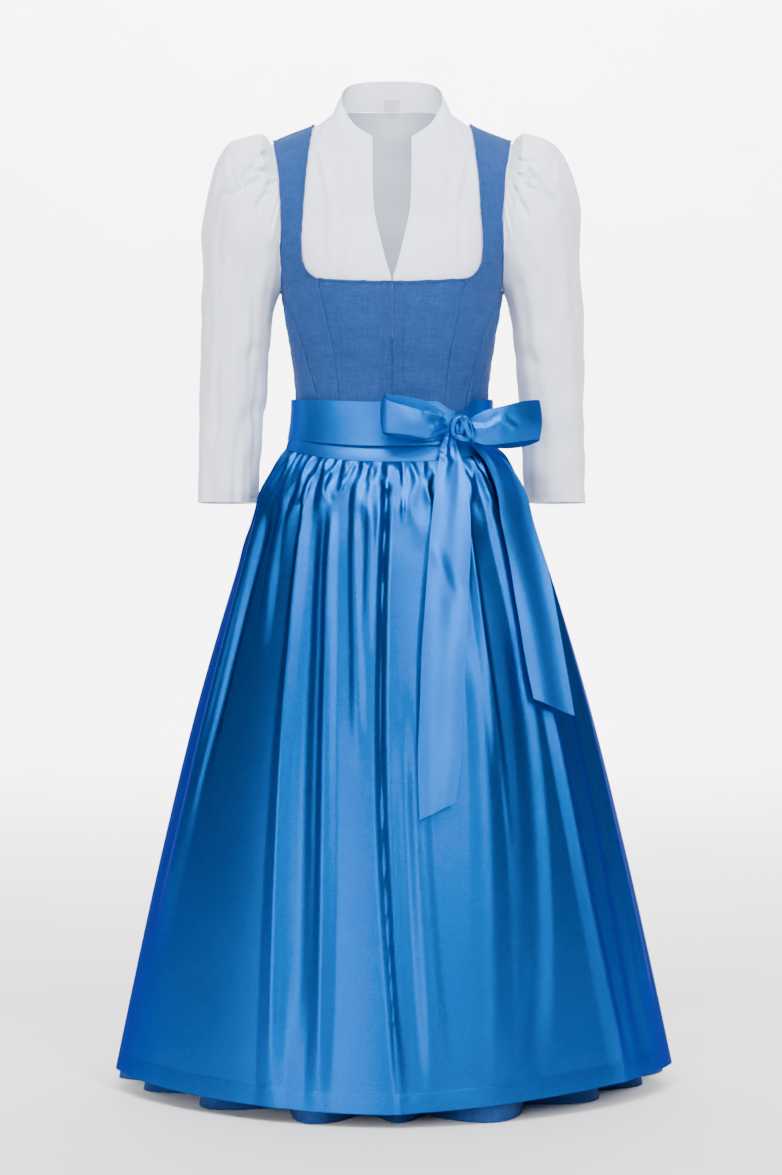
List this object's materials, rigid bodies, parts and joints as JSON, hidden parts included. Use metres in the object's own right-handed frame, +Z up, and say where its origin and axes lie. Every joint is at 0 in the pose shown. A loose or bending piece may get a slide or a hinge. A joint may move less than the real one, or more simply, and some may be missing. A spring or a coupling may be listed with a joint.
{
  "type": "dirndl dress",
  "caption": "Worn-form dirndl set: linen bodice with gathered midi skirt, satin apron tied with a bow, and a stand-collar blouse with long gathered sleeves.",
  "frame": {"origin": "between the wearer's shoulders, at the height where the bodice's straps cross them", "axes": "+Z up, the wearer faces -Y, and +X is the wearer's left"},
  "size_m": [0.7037, 0.617, 1.289],
  "materials": {
    "linen": "mid-blue slubbed linen, matt",
    "poplin": "white cotton poplin, matt",
    "satin": "royal blue satin, soft gloss",
    "hook_metal": "plain steel hooks"
  },
  "bodies": {
    "root": {"apron_skirt": "satin", "apron_tie": "satin", "apron_waistband": "satin", "blouse_back": "poplin", "blouse_band_left": "poplin", "blouse_band_right": "poplin", "blouse_collar": "poplin", "blouse_front_left": "poplin", "blouse_front_right": "poplin", "blouse_sleeve_left": "poplin", "blouse_sleeve_right": "poplin", "bodice_back": "linen", "bodice_front_left": "linen", "bodice_front_right": "linen", "bodice_side_back_left": "linen", "bodice_side_back_right": "linen", "bodice_side_front_left": "linen", "bodice_side_front_right": "linen", "bodice_side_left": "linen", "bodice_side_right": "linen", "bow_knot": "satin", "bow_loop_left": "satin", "bow_loop_right": "satin", "front_hook_1": "hook_metal", "front_hook_2": "hook_metal", "front_hook_3": "hook_metal", "front_hook_4": "hook_metal", "front_hook_5": "hook_metal", "neck_label": "poplin", "skirt_back": "linen", "skirt_front": "linen", "skirt_side_left": "linen", "skirt_side_right": "linen", "tie_end_front": "satin", "tie_end_side": "satin"}
  },
  "joints": []
}
